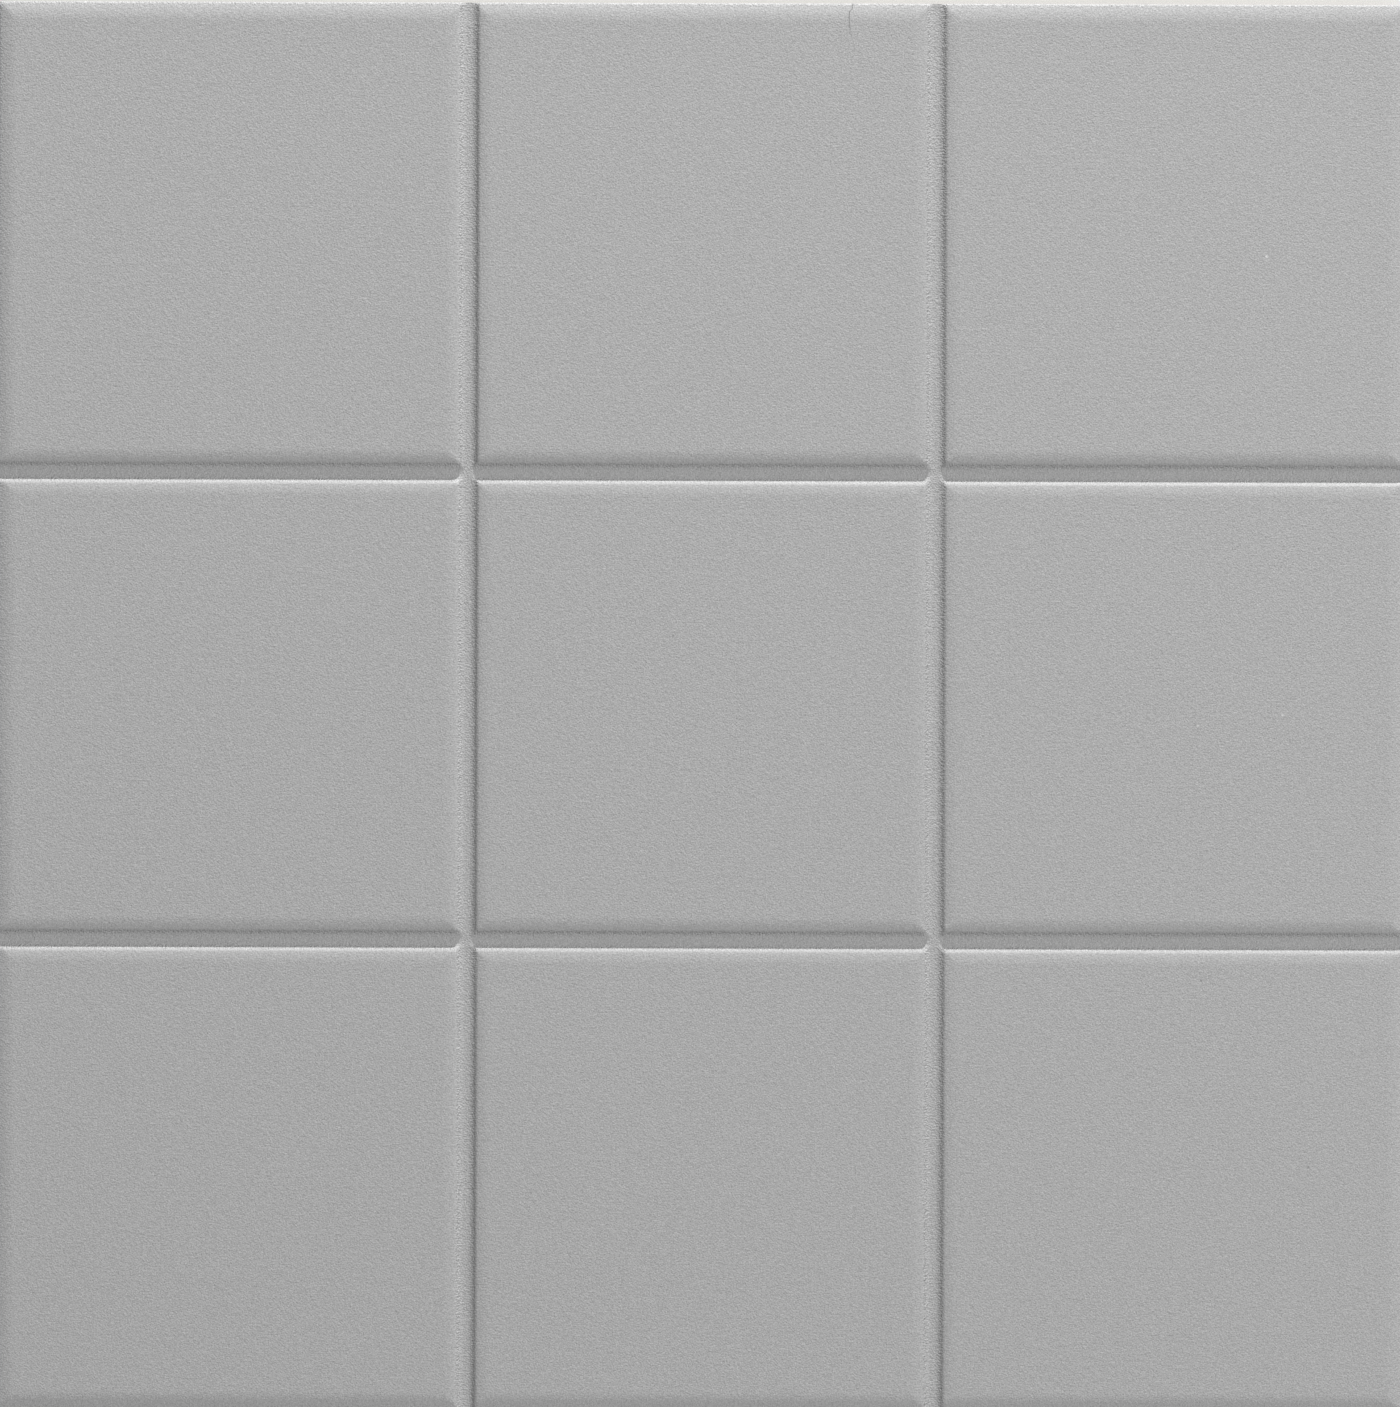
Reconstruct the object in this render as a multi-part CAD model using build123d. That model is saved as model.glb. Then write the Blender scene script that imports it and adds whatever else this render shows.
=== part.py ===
"""Matt grey ceramic wall tile, pre-scored into cushion-edged squares.

One dust-pressed and fired piece that lies on its back. The face looks up along +Z, and the
origin is at the middle of the bottom. Lengths are in millimetres and angles in degrees.
"""
from build123d import *
from dataclasses import dataclass
from math import acos, asin, cos, radians, sin, sqrt, tan
import os

# The tile as a whole
tile_side = 200.0
tile_thickness = 7.0
back_edge_chamfer = 0.3

# Squares of the face, and the grooves between them
squares_per_side = 3
groove_pitch = 66.4
square_corner_radius = 0.4
groove_depth = 0.95
groove_floor_width = 1.65
groove_wall_draft = 40.0
groove_foot_radius = 1.2

# Rolled rim of each square: a gentle shoulder, then a tight arris above the wall
shoulder_radius = 8.5
groove_shoulder_width = 1.9
edge_shoulder_width = 2.7
groove_arris_radius = 0.8
edge_arris_radius = 0.4
arris_end_slope = 28.0

# Keying relief of the back: square pockets between the ribs that the tile is bedded on
key_pockets_per_side = 8
key_rib_width = 4.0
key_border_width = 10.0
key_depth = 0.6
key_wall_draft = 30.0

floor_height = tile_thickness - groove_depth
key_pitch = (tile_side - 2 * key_border_width + key_rib_width) / key_pockets_per_side
key_pocket_side = key_pitch - key_rib_width


@dataclass(frozen=True)
class Side:
    """The section of a raised square's side: a foot, a wall, an arris and the shoulder above it."""

    wall_draft: float
    shoulder_width: float
    foot_radius: float
    arris_radius: float

    @property
    def wall_angle(self):
        """Slope of the wall from the level."""
        return radians(90 - self.wall_draft)

    @property
    def arris_height(self):
        """Height where the wall would meet the shoulder if the arris were sharp."""
        return tile_thickness - shoulder_radius + sqrt(shoulder_radius**2 - self.shoulder_width**2)

    @property
    def wall_run(self):
        """Spread of the wall in plan, from the sharp arris to the groove's floor."""
        return (self.arris_height - floor_height) / tan(self.wall_angle)

    @property
    def roll_start(self):
        """Height where the wall ends and the arris starts to roll over."""
        turn = self.wall_angle - asin(self.shoulder_width / shoulder_radius)
        return self.arris_height - self.arris_radius * tan(turn / 2) * sin(self.wall_angle)

    def foot_height(self, slope):
        """Return the height at which the foot's fillet has risen to this slope."""
        return floor_height + self.foot_radius * (1 - cos(slope))

    def roll_height(self, slope):
        """Return the height at which the arris has rolled over to this slope."""
        return self.roll_start + self.arris_radius * (cos(slope) - cos(self.wall_angle))

    @property
    def heights(self):
        """Heights of the contours that shape this side, from the groove's floor up."""
        end_slope = radians(arris_end_slope)
        foot = [self.foot_height(slope) for slope in (0, self.wall_angle / 2, self.wall_angle)]
        roll_slopes = (self.wall_angle, (self.wall_angle + end_slope) / 2, end_slope)
        roll = [self.roll_height(slope) for slope in roll_slopes]
        return [max(height, floor_height) for height in (*foot, *roll, tile_thickness)]

    def inset(self, height):
        """Return how far inside its sharp arris line this side lies at a height."""
        foot_top = self.foot_height(self.wall_angle)
        roll_end = self.roll_height(radians(arris_end_slope))
        wall_height = min(max(height, foot_top), self.roll_start)
        wall_inset = (wall_height - self.arris_height) / tan(self.wall_angle)
        if height < foot_top:
            slope = acos(1 - (height - floor_height) / self.foot_radius)
            return wall_inset - self.foot_radius * (sin(self.wall_angle) - sin(slope))
        if height <= self.roll_start:
            return wall_inset
        rolled = min(height, roll_end) - self.roll_start
        slope = acos(cos(self.wall_angle) + rolled / self.arris_radius)
        run_on = max(0, height - roll_end) / tan(radians(arris_end_slope))
        return wall_inset + self.arris_radius * (sin(self.wall_angle) - sin(slope)) + run_on


groove_side = Side(groove_wall_draft, groove_shoulder_width, groove_foot_radius, groove_arris_radius)
edge_side = Side(0.0, edge_shoulder_width, 0.0, edge_arris_radius)
groove_half_opening = groove_floor_width / 2 + groove_side.wall_run


def groove_line(index):
    """Return the middle line of a groove, counted from 0 along one axis."""
    return (index + 1 - squares_per_side / 2) * groove_pitch


def square_span(index):
    """Return a square's two sharp arris lines along one axis, and the kind of side at each."""
    low, low_side = -tile_side / 2, edge_side
    high, high_side = tile_side / 2, edge_side
    if index > 0:
        low, low_side = groove_line(index - 1) + groove_half_opening, groove_side
    if index < squares_per_side - 1:
        high, high_side = groove_line(index) - groove_half_opening, groove_side
    return low, low_side, high, high_side


def contour(column, row, height):
    """Draw a square's rounded outline at one height."""
    left, left_side, right, right_side = square_span(column)
    near, near_side, far, far_side = square_span(row)
    left = left + left_side.inset(height)
    right = right - right_side.inset(height)
    near = near + near_side.inset(height)
    far = far - far_side.inset(height)
    outline = RectangleRounded(right - left, far - near, square_corner_radius)
    return Pos((left + right) / 2, (near + far) / 2, height) * outline


def cushion_bar(index, plane):
    """Run a square's rolled top through the tile, square to the given plane."""
    low, low_side, high, high_side = square_span(index)
    run_out = edge_shoulder_width + groove_half_opening
    low_start = low + low_side.shoulder_width
    high_start = high - high_side.shoulder_width
    skirt = tile_thickness - shoulder_radius + sqrt(shoulder_radius**2 - run_out**2)
    flat = Line((low_start, tile_thickness), (high_start, tile_thickness))
    high_roll = RadiusArc(flat @ 1, (high_start + run_out, skirt), shoulder_radius)
    low_roll = RadiusArc((low_start - run_out, skirt), flat @ 0, shoulder_radius)
    under = Polyline(high_roll @ 1, (high_start + run_out, 0), (low_start - run_out, 0), low_roll @ 0)
    section = make_face([flat, high_roll, under, low_roll])
    return extrude(plane * section, amount=tile_side, both=True)


def raised_square(column, row):
    """Make one square: lofted walls and arris with rounded corners, under shoulders that meet in mitres."""
    sides = {side for index in (column, row) for side in square_span(index)[1::2]}
    heights = sorted({height for side in sides for height in side.heights})
    block = loft([contour(column, row, height) for height in heights], ruled=True)
    return block & cushion_bar(column, Plane.XZ) & cushion_bar(row, Plane.YZ)


def key_pocket():
    """Make one drafted pocket of the back, with its mouth at the bottom."""
    return extrude(Rectangle(key_pocket_side, key_pocket_side), amount=key_depth, taper=key_wall_draft)


def wall_tile():
    """Make the whole tile: the body up to the groove floors, its squares and its keyed back."""
    body = extrude(RectangleRounded(tile_side, tile_side, square_corner_radius), amount=floor_height)
    body = chamfer(body.edges().group_by(Axis.Z)[0], back_edge_chamfer)
    places = range(squares_per_side)
    body = body + [raised_square(column, row) for column in places for row in places]
    key_places = GridLocations(key_pitch, key_pitch, key_pockets_per_side, key_pockets_per_side)
    return body - [place * key_pocket() for place in key_places]


os.makedirs("parts", exist_ok=True)
export_step(wall_tile(), "parts/wall_tile.step")
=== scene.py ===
"""Looks of a matt grey ceramic wall tile, pre-scored into cushion-edged squares.

The tile lies on its back with the middle of its bottom at the origin and its face up along +Z.
Lengths are in metres.
"""
from dataclasses import dataclass
from math import acos, asin, cos, pi, radians, sin, sqrt, tan

import bmesh
import bpy
from bpy.props import FloatProperty, FloatVectorProperty, IntProperty, PointerProperty
from bpy.types import Operator, Panel, PropertyGroup
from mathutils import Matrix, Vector


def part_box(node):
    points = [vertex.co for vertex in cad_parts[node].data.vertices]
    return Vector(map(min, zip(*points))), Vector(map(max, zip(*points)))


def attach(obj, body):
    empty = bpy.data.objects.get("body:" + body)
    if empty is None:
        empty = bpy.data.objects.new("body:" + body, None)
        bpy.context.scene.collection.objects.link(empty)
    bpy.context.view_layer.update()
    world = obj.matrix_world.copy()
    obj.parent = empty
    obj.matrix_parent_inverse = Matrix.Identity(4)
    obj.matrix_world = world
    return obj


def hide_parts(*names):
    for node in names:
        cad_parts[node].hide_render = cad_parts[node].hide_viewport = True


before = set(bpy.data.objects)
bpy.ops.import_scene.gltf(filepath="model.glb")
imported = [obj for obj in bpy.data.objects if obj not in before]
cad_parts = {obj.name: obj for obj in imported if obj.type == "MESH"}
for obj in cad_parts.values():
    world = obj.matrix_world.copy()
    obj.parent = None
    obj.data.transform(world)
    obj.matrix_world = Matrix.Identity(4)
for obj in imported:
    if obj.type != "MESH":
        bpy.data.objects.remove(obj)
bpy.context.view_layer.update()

bl_info = {
    "name": "Pre-scored Wall Tile",
    "version": (1, 0, 0),
    "blender": (4, 5, 0),
    "location": "View3D > Sidebar > Wall Tile",
    "description": "Presses, glazes and lights a matt ceramic wall tile with mock joints",
    "category": "Add Mesh",
}

TILE_LOW, TILE_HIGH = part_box("wall_tile")
MM = 0.001

# Tolerances when picking parts of the mesh, and the least gap between two rings of a square's side
NEAR = 0.002 * MM
LEVEL_NEAR = 0.001 * MM
CORNER_NEAR = 0.05 * MM
LEAST_RING_GAP = 0.004 * MM

# Finer make of the pressed mesh
GRID_CUTS = 9
CORNER_SEGMENTS = 8
LIP_SEGMENTS = 5
POCKET_CORNER = 1.5 * MM
POCKET_SEGMENTS = 4
SMOOTH_ANGLE = radians(32)

# Frame of the photograph: its width on the face, and the camera's shift and turn
VIEW_WIDTH = 198.73 * MM
VIEW_SHIFT = (-0.16 * MM, 0.50 * MM)
VIEW_TURN = radians(0.17)

# Floor of the stage, a hair below the tile's bottom
FLOOR_SIZE = 6
FLOOR_HEIGHT = -0.05 * MM

# Hairline in the glaze: it starts at the top edge and fades out down the face
HAIRLINE_FOOT = (20.73 * MM, 97.9 * MM)
HAIRLINE_CURVE = 45
HAIRLINE_KINK = 0.35 * MM
HAIRLINE_DARK = 0.55

# Specks in the glaze: their places on the face in millimetres, and how much lighter they are
GLAZE_SPECKS = (
    (80.1, 64.2, 0.68), (70.5, -2.5, 0.34), (82.5, -0.9, 0.28),
    (71.1, -38.6, -0.29), (86.4, -65.1, -0.27), (-4.0, 10.1, -0.4),
)


class TileShape(PropertyGroup):
    """Sizes of the pressed tile."""

    side: FloatProperty(
        name="Side", description="Length of the tile's sides",
        default=TILE_HIGH[0] - TILE_LOW[0], unit="LENGTH")
    thickness: FloatProperty(
        name="Thickness", description="Height of the face above the bottom",
        default=TILE_HIGH[2] - TILE_LOW[2], unit="LENGTH")
    squares: IntProperty(
        name="Squares", description="Squares along each side of the face", default=3)
    groove_pitch: FloatProperty(
        name="Groove Pitch", description="Distance between the middles of two grooves",
        default=66.4 * MM, unit="LENGTH")
    groove_depth: FloatProperty(
        name="Groove Depth", description="Depth of the mock joints below the face",
        default=0.95 * MM, unit="LENGTH")
    groove_floor: FloatProperty(
        name="Groove Floor", description="Width of a groove between its sharp feet",
        default=1.65 * MM, unit="LENGTH")
    groove_draft: FloatProperty(
        name="Groove Draft", description="Lean of a groove's walls from the upright",
        default=radians(40), subtype="ANGLE")
    foot_radius: FloatProperty(
        name="Foot Radius", description="Fillet between a groove's wall and its floor",
        default=1.2 * MM, unit="LENGTH")
    corner_radius: FloatProperty(
        name="Corner Radius", description="Rounding of the squares' corners in plan",
        default=0.4 * MM, unit="LENGTH")
    shoulder_radius: FloatProperty(
        name="Shoulder Radius", description="Roll of the shoulders around each square",
        default=8.5 * MM, unit="LENGTH")
    groove_shoulder: FloatProperty(
        name="Groove Shoulder", description="Width of the shoulders beside a groove",
        default=1.9 * MM, unit="LENGTH")
    edge_shoulder: FloatProperty(
        name="Edge Shoulder", description="Width of the shoulders along the tile's edge",
        default=2.7 * MM, unit="LENGTH")
    groove_arris: FloatProperty(
        name="Groove Arris", description="Rounding where a shoulder turns into a groove",
        default=0.8 * MM, unit="LENGTH")
    edge_arris: FloatProperty(
        name="Edge Arris", description="Rounding where a shoulder turns into the tile's side",
        default=0.4 * MM, unit="LENGTH")
    groove_lip: FloatProperty(
        name="Groove Lip", description="Rounding where a groove's floor runs out at the tile's side",
        default=0.4 * MM, unit="LENGTH")
    back_chamfer: FloatProperty(
        name="Back Chamfer", description="Chamfer around the bottom",
        default=0.3 * MM, unit="LENGTH")
    key_count: IntProperty(
        name="Keys", description="Keying pockets along each side of the back", default=8)
    key_rib: FloatProperty(
        name="Key Rib", description="Width of the ribs between the keying pockets",
        default=4.0 * MM, unit="LENGTH")
    key_border: FloatProperty(
        name="Key Border", description="Width of the flat border around the pockets",
        default=10.0 * MM, unit="LENGTH")
    key_depth: FloatProperty(
        name="Key Depth", description="Depth of the keying pockets",
        default=0.6 * MM, unit="LENGTH")
    key_draft: FloatProperty(
        name="Key Draft", description="Lean of the pockets' walls from the upright",
        default=radians(30), subtype="ANGLE")


class TileFinish(PropertyGroup):
    """Colours and grain of the glaze and of the bare body below it."""

    glaze: FloatVectorProperty(
        name="Glaze", description="Colour of the matt glaze",
        default=(0.40, 0.40, 0.40), subtype="COLOR", size=3)
    biscuit: FloatVectorProperty(
        name="Biscuit", description="Colour of the unglazed body",
        default=(0.38, 0.345, 0.295), subtype="COLOR", size=3)
    grain_size: FloatProperty(
        name="Grain Size", description="Spacing of the glaze's fine grain",
        default=0.22 * MM, unit="LENGTH")
    grain_tone: FloatProperty(
        name="Grain Tone", description="Strength of the grain's light and dark",
        default=0.222, subtype="FACTOR")
    relief_size: FloatProperty(
        name="Relief Size", description="Spacing of the glaze's low bumps",
        default=0.45 * MM, unit="LENGTH")
    relief_height: FloatProperty(
        name="Relief Height", description="Height of the glaze's low bumps",
        default=0.044 * MM, unit="LENGTH")


class StudioLight(PropertyGroup):
    """Camera, floor and light of the stage."""

    lens: FloatProperty(
        name="Lens", description="Focal length of the camera in millimetres", default=150.0)
    floor_colour: FloatVectorProperty(
        name="Floor Colour", description="Colour of the plain floor",
        default=(0.66, 0.66, 0.66), subtype="COLOR", size=3)
    fill: FloatProperty(
        name="Fill", description="Strength of the even light from all round", default=0.28)
    rake_share: FloatProperty(
        name="Rake Share", description="Light that the low raking lamp sheds on the face", default=0.222)
    rake_height: FloatProperty(
        name="Rake Height", description="Angle of the raking lamp above the face",
        default=radians(9.5), subtype="ANGLE")
    rake_turn: FloatProperty(
        name="Rake Turn", description="Turn of the raking lamp from the picture's top to its right",
        default=radians(5), subtype="ANGLE")
    rake_distance: FloatProperty(
        name="Rake Distance", description="Distance from the tile to the raking lamp",
        default=1.1, unit="LENGTH")
    rake_size: FloatProperty(
        name="Rake Size", description="Breadth of the raking lamp", default=0.06, unit="LENGTH")
    panel_share: FloatProperty(
        name="Panel Share", description="Light that the broad panel sheds on the face", default=0.50)
    panel_height: FloatProperty(
        name="Panel Height", description="Angle of the broad panel above the face",
        default=radians(57), subtype="ANGLE")
    panel_turn: FloatProperty(
        name="Panel Turn", description="Turn of the broad panel from the picture's top to its right",
        default=radians(80), subtype="ANGLE")
    panel_distance: FloatProperty(
        name="Panel Distance", description="Distance from the tile to the broad panel",
        default=1.8, unit="LENGTH")
    panel_size: FloatProperty(
        name="Panel Size", description="Breadth of the broad panel", default=2.4, unit="LENGTH")


@dataclass(frozen=True)
class SquareSide:
    """Section of a raised square's side: a foot, a wall, an arris and the shoulder above it."""

    top: float
    floor: float
    slope: float
    shoulder: float
    radius: float
    foot: float
    arris: float

    @property
    def arris_height(self):
        """Height where the wall and the shoulder would meet if the arris were sharp."""
        return self.top - self.radius + sqrt(self.radius**2 - self.shoulder**2)

    @property
    def run(self):
        """Spread of the wall in plan, from the sharp arris to the floor."""
        return (self.arris_height - self.floor) / tan(self.slope)

    @property
    def end(self):
        """Slope of the shoulder where it reaches the sharp arris."""
        return asin(self.shoulder / self.radius)

    @property
    def roll_back(self):
        """Distance from the sharp arris to where its rounding starts."""
        return self.arris * tan((self.slope - self.end) / 2)

    @property
    def roll_low(self):
        """Height where the wall ends and the arris starts to roll over."""
        return self.arris_height - self.roll_back * sin(self.slope)

    def foot_height(self, angle):
        """Give the height where the foot's fillet has risen to an angle."""
        return self.floor + self.foot * (1 - cos(angle))

    def roll_height(self, angle):
        """Give the height where the arris has rolled over to an angle."""
        return self.roll_low + self.arris * (cos(angle) - cos(self.slope))

    def inset(self, height):
        """Give how far inside its sharp arris line the side lies at a height."""
        if height < self.foot_height(self.slope):
            angle = acos(1 - (height - self.floor) / self.foot)
            return self.foot * (sin(angle) - tan(self.slope / 2)) - self.run
        if height <= self.roll_low:
            return (height - self.floor) / tan(self.slope) - self.run
        if height <= self.roll_height(self.end):
            angle = acos(cos(self.slope) + (height - self.roll_low) / self.arris)
            return self.arris * (sin(self.slope) - sin(angle)) - self.roll_back * cos(self.slope)
        return self.shoulder - sqrt(self.radius**2 - (height - self.top + self.radius)**2)

    def heights(self, steps):
        """List the heights of the rings that shape the side, from the floor to the flat."""
        shares = [step / steps for step in range(steps + 1)]
        foot = [self.foot_height(share * self.slope) for share in shares]
        roll = [self.roll_height(self.slope + share * (self.end - self.slope)) for share in shares]
        roll_end = self.top - self.roll_height(self.end)
        start = acos(1 - roll_end / self.radius)
        shoulder = [self.top - self.radius * (1 - cos(start * (1 - share))) for share in shares]
        return foot + roll + shoulder


class Paint:
    """A socket of a material's nodes that plain arithmetic can use."""

    def __init__(self, tree, socket=None):
        self.tree = tree
        self.socket = socket

    def node(self, kind, settings, sockets, output=0):
        """Add a node of any kind, with its settings first and then its socket values or links."""
        added = self.tree.nodes.new(kind)
        for name, value in settings.items():
            setattr(added, name, value)
        for name, value in sockets.items():
            if isinstance(value, Paint):
                self.tree.links.new(value.socket, added.inputs[name])
            else:
                added.inputs[name].default_value = value
        return Paint(self.tree, None if output is None else added.outputs[output])

    def math(self, operation, *values):
        """Add a Math node on some values."""
        return self.node("ShaderNodeMath", {"operation": operation}, dict(enumerate(values)))

    def __add__(self, other):
        return self.math("ADD", self, other)

    def __radd__(self, other):
        return self.math("ADD", other, self)

    def __sub__(self, other):
        return self.math("SUBTRACT", self, other)

    def __rsub__(self, other):
        return self.math("SUBTRACT", other, self)

    def __mul__(self, other):
        return self.math("MULTIPLY", self, other)

    def __rmul__(self, other):
        return self.math("MULTIPLY", other, self)

    def step(self, low, high):
        """Rise smoothly from 0 at the low value to 1 at the high one."""
        return self.node(
            "ShaderNodeMapRange", {"interpolation_type": "SMOOTHSTEP"},
            {"Value": self, "From Min": low, "From Max": high})

    def mix(self, first, second):
        """Blend two colours by this share."""
        return self.node(
            "ShaderNodeMix", {"data_type": "RGBA"}, {0: self, 6: first, 7: second}, output=2)


def matt_glaze(finish):
    """Make the fired finish: a fine-grained matt glaze over a bare biscuit body."""
    material = bpy.data.materials.new("matt_glaze_fired")
    material.use_nodes = True
    tree = material.node_tree
    tree.nodes.clear()
    paint = Paint(tree)
    place = paint.node("ShaderNodeTexCoord", {}, {}, output="Object")
    across, along, height = (
        paint.node("ShaderNodeSeparateXYZ", {}, {"Vector": place}, output=axis) for axis in "XYZ")
    # Below the grooves, the flat speckle is sheared along the height so that it doesn't streak the sides
    drop = 0.7 * paint.math("MINIMUM", height, 6 * MM)
    spread = paint.node("ShaderNodeCombineXYZ", {}, {"X": across + drop, "Y": along + drop})

    def grain(size, detail=0.0, roughness=0.5):
        return paint.node(
            "ShaderNodeTexNoise", {},
            {"Vector": place, "Scale": 1 / size, "Detail": detail, "Roughness": roughness}) - 0.5

    def speckle(size):
        return paint.node(
            "ShaderNodeTexNoise", {"noise_dimensions": "2D"},
            {"Vector": spread, "Scale": 1 / size, "Detail": 0.0}) - 0.5

    sand = paint.node(
        "ShaderNodeTexVoronoi", {}, {"Vector": place, "Scale": 1 / finish.grain_size}, output="Color") - 0.5
    bend = along - HAIRLINE_FOOT[1]
    kink = HAIRLINE_KINK * along.step(98.7 * MM, 99.2 * MM)
    hairline_line = HAIRLINE_FOOT[0] + HAIRLINE_CURVE * bend * bend + kink
    from_line = paint.math("ABSOLUTE", across - hairline_line)
    hairline = (1 - from_line.step(0.02 * MM, 0.12 * MM)) * along.step(92.0 * MM, 100.5 * MM)
    hairline = hairline * height.step(3.6 * MM, 6.2 * MM)
    # The grain is stronger in the grooves, most of all on the steep part of their walls, where its extra
    # light and dark in the colour is partly real grain and partly painted shading of the bumps under
    # grazing light
    in_groove = 1 - height.step(6.55 * MM, 6.85 * MM)
    on_wall = height.step(6.1 * MM, 6.3 * MM) * (1 - height.step(6.55 * MM, 6.7 * MM))
    # Painted shade and light: the extra tone on the steep walls stands in for the grazing light's shading
    # of their bumps
    grain_tone = finish.grain_tone * (1 + 0.4 * on_wall)
    tone = 1 + grain_tone * (sand + 2.0 * speckle(0.85 * finish.grain_size))
    tone = tone * (1 - HAIRLINE_DARK * hairline)
    for x, y, change in GLAZE_SPECKS:
        from_speck = paint.node(
            "ShaderNodeVectorMath", {"operation": "DISTANCE"},
            {0: place, 1: (x * MM, y * MM, TILE_HIGH[2])}, output="Value")
        tone = tone + change * (1 - from_speck.step(0.08 * MM, 0.25 * MM))
    glaze = paint.node(
        "ShaderNodeVectorMath", {"operation": "SCALE"}, {"Vector": finish.glaze[:], "Scale": tone})
    biscuit_tone = 1 + 0.10 * grain(0.9 * MM, 2.0) + 0.16 * grain(14 * MM, 3.0)
    biscuit = paint.node(
        "ShaderNodeVectorMath", {"operation": "SCALE"},
        {"Vector": finish.biscuit[:], "Scale": biscuit_tone})
    glazed = (height + 1.6 * MM * grain(4 * MM, 2.0)).step(4.3 * MM, 4.7 * MM)
    colour = glazed.mix(biscuit, glaze)

    bumps = 0.8 * grain(finish.relief_size, 1.0, 0.5) + 0.65 * speckle(0.5 * finish.relief_size)
    relief = finish.relief_height * bumps * (1 + in_groove + 2.0 * on_wall)
    bump = paint.node("ShaderNodeBump", {}, {"Height": relief, "Distance": 1.0, "Strength": 1.0})
    rough = 0.86 - 0.16 * glazed + 0.1 * sand
    shader = paint.node(
        "ShaderNodeBsdfPrincipled", {},
        {"Base Color": colour, "Roughness": rough, "Normal": bump, "Specular IOR Level": 0.35})
    paint.node("ShaderNodeOutputMaterial", {}, {"Surface": shader}, output=None)
    return material


def deselect_everything():
    """Leave no object selected, in object mode."""
    if bpy.context.mode != "OBJECT":
        bpy.ops.object.mode_set(mode="OBJECT")
    bpy.ops.object.select_all(action="DESELECT")


def pick(piece, kind, test):
    """Select only the vertices, edges or faces of a piece in edit mode that pass a test."""
    bpy.ops.mesh.select_mode(type={"verts": "VERT", "edges": "EDGE", "faces": "FACE"}[kind])
    bpy.ops.mesh.select_all(action="DESELECT")
    mesh = bmesh.from_edit_mesh(piece.data)
    chosen = [part for part in getattr(mesh, kind) if test(part)]
    for part in chosen:
        part.select_set(True)
    bmesh.update_edit_mesh(piece.data)
    return len(chosen)


def middle(part):
    """Give the middle of an edge's or a face's vertices."""
    points = [vertex.co for vertex in part.verts]
    return sum(points, Vector()) / len(points)


def stretch(axis, before, after):
    """Scale the selection along an axis so that a pair of lines moves to a new pair."""
    scale = (after[1] - after[0]) / (before[1] - before[0])
    if abs(scale - 1) < 1e-9:
        return
    centre = [0.0, 0.0, 0.0]
    centre[axis] = (after[0] - scale * before[0]) / (1 - scale)
    value = [1.0, 1.0, 1.0]
    value[axis] = scale
    bpy.ops.transform.resize(value=value, center_override=centre)


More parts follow.
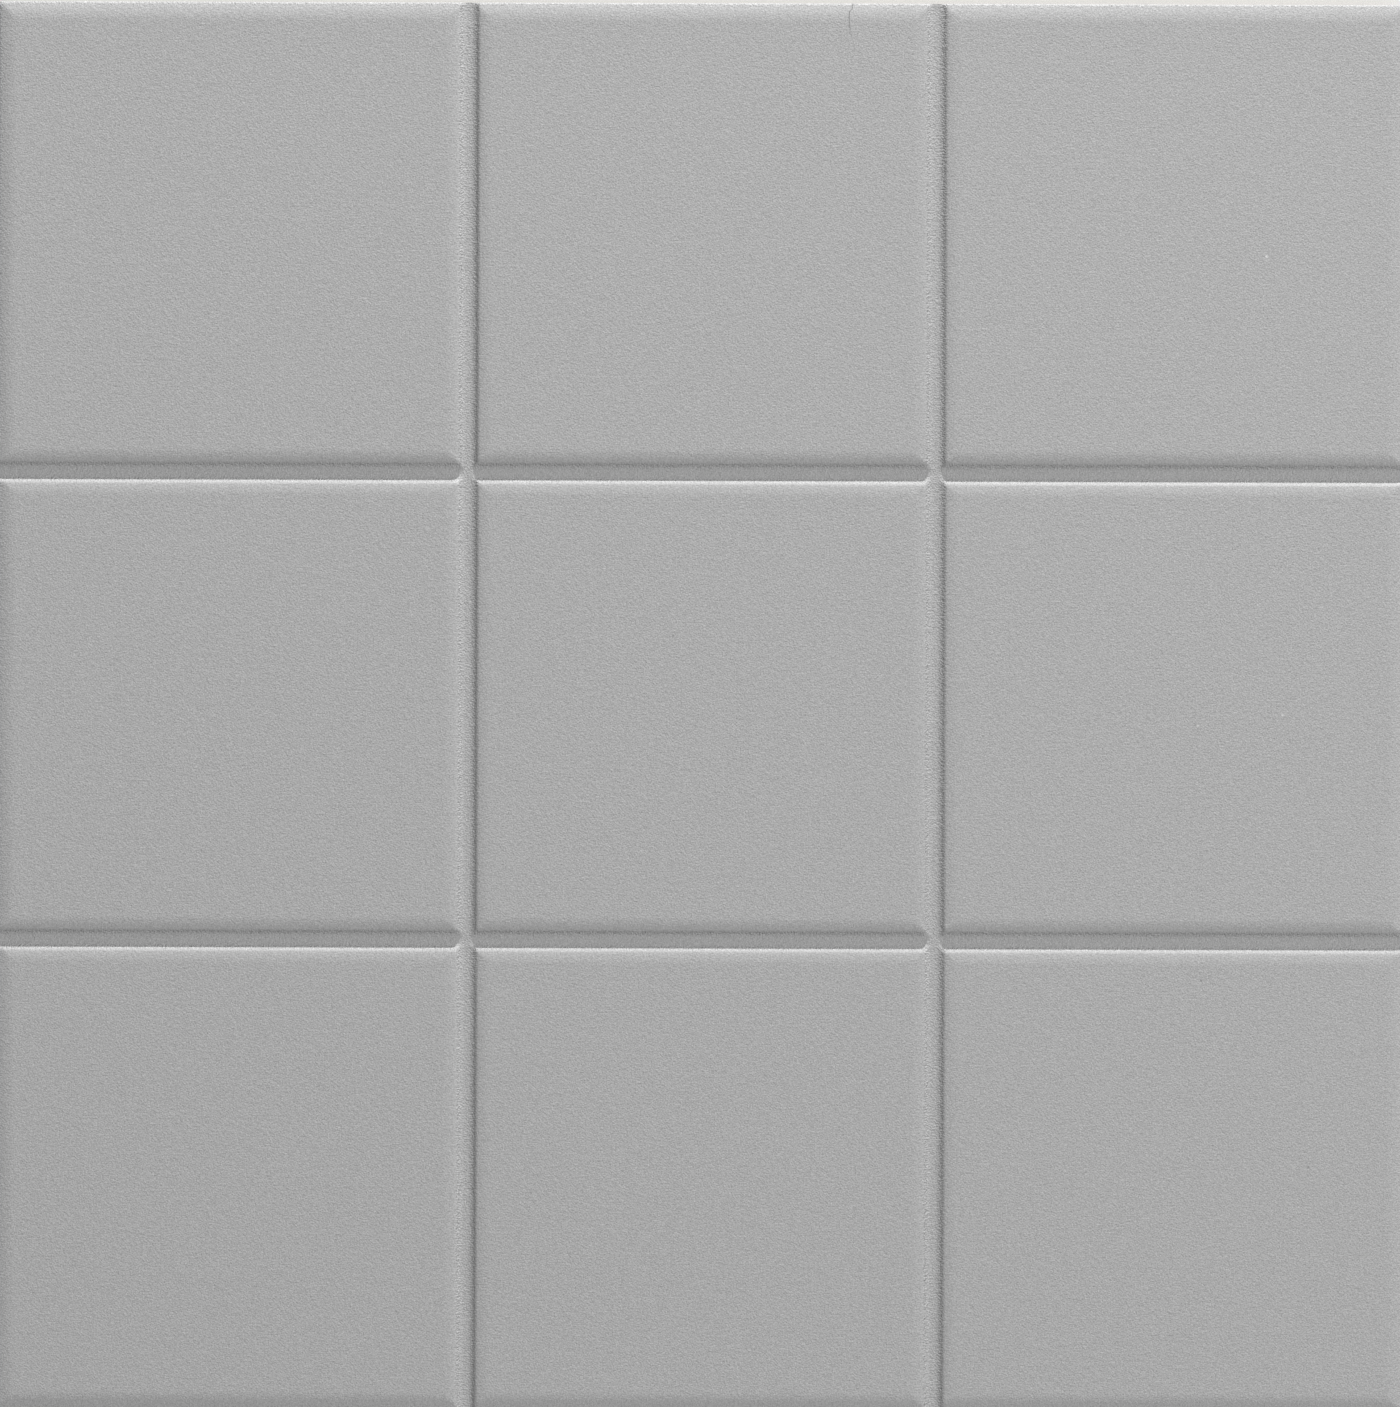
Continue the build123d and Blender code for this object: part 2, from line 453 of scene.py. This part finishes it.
class TILE_OT_press(Operator):
    """Press the tile: nine cushion-edged squares on one body with a keyed back"""

    bl_idname = "wall_tile.press"
    bl_label = "Press Tile"

    ring_steps = 6

    def execute(self, context):
        shape = context.scene.tile_shape
        spans = self.spans(shape)
        tile = self.lay_squares(shape, spans)
        self.raise_squares(tile, shape, spans)
        self.close_floor(tile, shape, spans)
        self.drop_sides(tile, shape)
        self.round_ends(tile, shape)
        self.key_back(tile, shape)
        self.fire(context, tile)
        return {"FINISHED"}

    def spans(self, shape):
        """List each square's low and high arris lines along one axis, with the sides there."""
        floor = shape.thickness - shape.groove_depth
        groove = SquareSide(
            shape.thickness, floor, pi / 2 - shape.groove_draft, shape.groove_shoulder,
            shape.shoulder_radius, shape.foot_radius, shape.groove_arris)
        edge = SquareSide(
            shape.thickness, floor, pi / 2, shape.edge_shoulder,
            shape.shoulder_radius, 0.0, shape.edge_arris)
        opening = shape.groove_floor / 2 + groove.run
        count = shape.squares
        lines = [(index + 1 - count / 2) * shape.groove_pitch for index in range(count - 1)]
        lows = [(-shape.side / 2, edge)] + [(line + opening, groove) for line in lines]
        highs = [(line - opening, groove) for line in lines] + [(shape.side / 2, edge)]
        return list(zip(lows, highs))

    def lines_at(self, span, height):
        """Give the two lines of a square's outline along one axis at a height."""
        (low, low_side), (high, high_side) = span
        return low + low_side.inset(height), high - high_side.inset(height)

    def lay_squares(self, shape, spans):
        """Lay the squares' foot outlines on the groove floor and round their corners."""
        deselect_everything()
        floor = shape.thickness - shape.groove_depth
        bpy.ops.mesh.primitive_plane_add(size=1, location=(0, 0, 0))
        tile = bpy.context.object
        tile.name = "pressed_tile"
        bpy.ops.object.mode_set(mode="EDIT")
        bpy.ops.mesh.delete(type="VERT")
        for column in spans:
            left, right = self.lines_at(column, floor)
            for row in spans:
                near, far = self.lines_at(row, floor)
                centre = ((left + right) / 2, (near + far) / 2, floor)
                bpy.ops.mesh.primitive_plane_add(size=1, location=centre)
                bpy.ops.transform.resize(value=(right - left, far - near, 1), center_override=centre)
        bpy.ops.mesh.select_all(action="SELECT")
        bpy.ops.mesh.subdivide(number_cuts=GRID_CUTS)
        foot_lines = [line for span in spans for line in self.lines_at(span, floor)]

        def on_line(place):
            return any(abs(place - line) < CORNER_NEAR for line in foot_lines)

        pick(tile, "verts", lambda vertex: on_line(vertex.co.x) and on_line(vertex.co.y))
        bpy.ops.mesh.bevel(offset=shape.corner_radius, segments=CORNER_SEGMENTS, affect="VERTICES")
        return tile

    def raise_squares(self, tile, shape, spans):
        """Raise the squares ring by ring through their walls, arrises and shoulders to the flat."""
        sides = {side for span in spans for _, side in span}
        heights = sorted({height for side in sides for height in side.heights(self.ring_steps)})
        rings = [heights[0]]
        for height in heights[1:]:
            if height - rings[-1] > LEAST_RING_GAP:
                rings.append(height)
        rings[-1] = heights[-1]
        bpy.ops.mesh.select_mode(type="FACE")
        bpy.ops.mesh.select_all(action="SELECT")
        for before, after in zip(rings, rings[1:]):
            bpy.ops.mesh.extrude_region_move(TRANSFORM_OT_translate={"value": (0, 0, after - before)})
            for axis in (0, 1):
                for span in spans:
                    lines = self.lines_at(span, before)
                    pick(tile, "faces", lambda face: self.level(face, after)
                         and lines[0] < middle(face)[axis] < lines[1])
                    stretch(axis, lines, self.lines_at(span, after))
            pick(tile, "faces", lambda face: self.level(face, after))
        bpy.ops.mesh.inset(thickness=0.6 * shape.corner_radius)
        pick(tile, "faces", lambda face: self.level(face, rings[0]))
        bpy.ops.mesh.delete(type="FACE")

    def level(self, face, height):
        """Tell whether a face lies flat at a height."""
        return all(abs(vertex.co.z - height) < LEVEL_NEAR for vertex in face.verts)

    def close_floor(self, tile, shape, spans):
        """Close the grooves' open ends along the tile's edge and fill the floor between squares."""
        floor = shape.thickness - shape.groove_depth
        reach = shape.side / 2
        grooves = [(low[1][0] + high[0][0]) / 2 for low, high in zip(spans, spans[1:])]
        gap = (spans[1][0][0] - spans[0][1][0]) / 2 + shape.corner_radius + 0.6 * MM
        for axis in (0, 1):
            for end in (-reach, reach):
                for groove in grooves:
                    found = pick(tile, "verts", lambda vertex: abs(vertex.co.z - floor) < NEAR
                                 and abs(vertex.co[axis] - end) < NEAR
                                 and abs(vertex.co[1 - axis] - groove) < gap)
                    if found != 2:
                        raise RuntimeError(f"A groove end has {found} corners instead of 2")
                    bpy.ops.mesh.edge_face_add()
        pick(tile, "edges", lambda edge: edge.is_wire or (edge.is_boundary and not all(
            max(abs(vertex.co.x), abs(vertex.co.y)) > reach - NEAR for vertex in edge.verts)))
        bpy.ops.mesh.fill(use_beauty=True)

    def drop_sides(self, tile, shape):
        """Draw the tile's sides down from its outline to the bottom, with a chamfer below."""
        floor = shape.thickness - shape.groove_depth
        pick(tile, "edges", lambda edge: edge.is_boundary)
        drop = shape.back_chamfer - floor
        bpy.ops.mesh.extrude_edges_move(TRANSFORM_OT_translate={"value": (0, 0, drop)})
        bpy.ops.mesh.extrude_edges_move(TRANSFORM_OT_translate={"value": (0, 0, -shape.back_chamfer)})
        shrink = 1 - 2 * shape.back_chamfer / shape.side
        bpy.ops.transform.resize(value=(shrink, shrink, 1), center_override=(0, 0, 0))

    def round_ends(self, tile, shape):
        """Round the lip where each groove's floor runs out through the tile's side."""
        floor = shape.thickness - shape.groove_depth
        reach = shape.side / 2
        found = pick(tile, "edges", lambda edge: self.is_lip(edge) and all(
            abs(vertex.co.z - floor) < NEAR
            and max(abs(vertex.co.x), abs(vertex.co.y)) > reach - NEAR for vertex in edge.verts))
        if found != 4 * (shape.squares - 1):
            raise RuntimeError(f"The grooves have {found} open ends")
        bpy.ops.mesh.bevel(offset=shape.groove_lip, segments=LIP_SEGMENTS, affect="EDGES")

    def is_lip(self, edge):
        """Tell whether an edge parts the level floor from an upright side."""
        levels = [face.normal.z > 0.99 for face in edge.link_faces]
        return sorted(levels) == [False, True]

    def key_back(self, tile, shape):
        """Press the keying pockets into the back and close the ribs between them."""
        pitch = (shape.side - 2 * shape.key_border + shape.key_rib) / shape.key_count
        mouth = pitch - shape.key_rib
        first = -pitch * (shape.key_count - 1) / 2
        deselect_everything()
        bpy.ops.mesh.primitive_plane_add(size=mouth, location=(first, first, 0))
        pocket = bpy.context.object
        bpy.ops.object.transform_apply(location=True)
        bpy.ops.object.mode_set(mode="EDIT")
        bpy.ops.mesh.select_all(action="SELECT")
        bpy.ops.mesh.bevel(offset=POCKET_CORNER, segments=POCKET_SEGMENTS, affect="VERTICES")
        pick(pocket, "faces", lambda face: True)
        bpy.ops.mesh.extrude_region_move(TRANSFORM_OT_translate={"value": (0, 0, shape.key_depth)})
        shrink = 1 - 2 * shape.key_depth * tan(shape.key_draft) / mouth
        bpy.ops.transform.resize(value=(shrink, shrink, 1), center_override=(first, first, 0))
        pick(pocket, "faces", lambda face: abs(middle(face).z) < LEVEL_NEAR)
        bpy.ops.mesh.delete(type="ONLY_FACE")
        bpy.ops.object.mode_set(mode="OBJECT")
        for name, offset in (("columns", (pitch, 0, 0)), ("rows", (0, pitch, 0))):
            array = pocket.modifiers.new(name, "ARRAY")
            array.count = shape.key_count
            array.use_relative_offset = False
            array.use_constant_offset = True
            array.constant_offset_displace = offset
            bpy.ops.object.modifier_apply(modifier=name)
        tile.select_set(True)
        bpy.context.view_layer.objects.active = tile
        bpy.ops.object.join()
        bpy.ops.object.mode_set(mode="EDIT")
        pick(tile, "edges", lambda edge: edge.is_boundary)
        bpy.ops.mesh.fill(use_beauty=True)

    def fire(self, context, tile):
        """Clean the mesh, see that it is closed, and give the tile its finish and its place."""
        bpy.ops.mesh.select_all(action="SELECT")
        bpy.ops.mesh.remove_doubles(threshold=0.0005 * MM)
        bpy.ops.mesh.normals_make_consistent(inside=False)
        bpy.ops.object.mode_set(mode="OBJECT")
        bpy.ops.object.shade_smooth_by_angle(angle=SMOOTH_ANGLE)
        mesh = bmesh.new()
        mesh.from_mesh(tile.data)
        gaps = sum(1 for edge in mesh.edges if not edge.is_manifold)
        mesh.free()
        if gaps:
            raise RuntimeError(f"The pressed tile has {gaps} open or doubled edges")
        tile.data.materials.clear()
        tile.data.materials.append(matt_glaze(context.scene.tile_finish))
        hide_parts("wall_tile")
        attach(tile, "root")


class TILE_OT_stage(Operator):
    """Lay a plain pale floor, hang the two lamps and set the camera above the tile"""

    bl_idname = "wall_tile.stage"
    bl_label = "Set Stage"

    def execute(self, context):
        light = context.scene.studio_light
        shape = context.scene.tile_shape
        context.scene.view_settings.view_transform = "Standard"
        self.lay_floor(light)
        self.light_room(context, light)
        self.hang_lamp(
            "raking_lamp", light.rake_share, light.rake_height, light.rake_turn,
            light.rake_distance, light.rake_size)
        self.hang_lamp(
            "broad_panel", light.panel_share, light.panel_height, light.panel_turn,
            light.panel_distance, light.panel_size)
        self.set_camera(context, light, shape)
        return {"FINISHED"}

    def lay_floor(self, light):
        """Lay the floor that the tile rests on."""
        deselect_everything()
        bpy.ops.mesh.primitive_plane_add(size=FLOOR_SIZE, location=(0, 0, FLOOR_HEIGHT))
        floor = bpy.context.object
        floor.name = "studio_floor"
        material = bpy.data.materials.new("pale_floor")
        material.use_nodes = True
        shader = material.node_tree.nodes["Principled BSDF"]
        shader.inputs["Base Color"].default_value = (*light.floor_colour, 1)
        shader.inputs["Roughness"].default_value = 0.9
        shader.inputs["Specular IOR Level"].default_value = 0.1
        floor.data.materials.append(material)

    def light_room(self, context, light):
        """Fill the room with even light."""
        world = bpy.data.worlds.new("studio_room")
        context.scene.world = world
        world.use_nodes = True
        background = world.node_tree.nodes["Background"]
        background.inputs["Color"].default_value = (1, 1, 1, 1)
        background.inputs["Strength"].default_value = light.fill

    def hang_lamp(self, name, share, height, turn, distance, size):
        """Hang a round lamp that faces the tile and sheds a share of the face's light."""
        bpy.ops.object.light_add(type="AREA")
        lamp = bpy.context.object
        lamp.name = name
        flat = distance * cos(height)
        place = Vector((flat * sin(turn), flat * cos(turn), distance * sin(height)))
        lamp.location = place
        lamp.rotation_euler = place.to_track_quat("Z", "Y").to_euler()
        lamp.visible_camera = False
        lamp.data.shape = "DISK"
        lamp.data.size = size
        lamp.data.energy = share * pi**2 * (distance**2 + size**2 / 4) / sin(height)

    def set_camera(self, context, light, shape):
        """Hang the camera straight above the tile, with the frame of the photograph."""
        bpy.ops.object.camera_add()
        camera = bpy.context.object
        camera.name = "overhead_camera"
        camera.data.sensor_fit = "HORIZONTAL"
        camera.data.lens = light.lens
        distance = VIEW_WIDTH * light.lens / camera.data.sensor_width
        camera.location = (*VIEW_SHIFT, shape.thickness + distance)
        camera.rotation_euler = (0, 0, VIEW_TURN)
        context.scene.camera = camera


class TILE_PT_tools(Panel):
    """Sidebar panel of the wall tile"""

    bl_label = "Wall Tile"
    bl_idname = "TILE_PT_tools"
    bl_space_type = "VIEW_3D"
    bl_region_type = "UI"
    bl_category = "Wall Tile"

    def draw(self, context):
        scene = context.scene
        for group in (scene.tile_shape, scene.tile_finish, scene.studio_light):
            box = self.layout.box()
            for name in group.bl_rna.properties.keys():
                if name not in {"rna_type", "name"}:
                    box.prop(group, name)
        self.layout.operator(TILE_OT_press.bl_idname)
        self.layout.operator(TILE_OT_stage.bl_idname)


CLASSES = (TileShape, TileFinish, StudioLight, TILE_OT_press, TILE_OT_stage, TILE_PT_tools)


def register():
    """Add the tile's tools and settings."""
    for tool in CLASSES:
        bpy.utils.register_class(tool)
    bpy.types.Scene.tile_shape = PointerProperty(type=TileShape)
    bpy.types.Scene.tile_finish = PointerProperty(type=TileFinish)
    bpy.types.Scene.studio_light = PointerProperty(type=StudioLight)


def unregister():
    """Take the tile's tools and settings away."""
    del bpy.types.Scene.studio_light
    del bpy.types.Scene.tile_finish
    del bpy.types.Scene.tile_shape
    for tool in reversed(CLASSES):
        bpy.utils.unregister_class(tool)


def main():
    """Press the tile and set the stage."""
    register()
    bpy.ops.wall_tile.press()
    bpy.ops.wall_tile.stage()


if __name__ == "__main__":
    main()
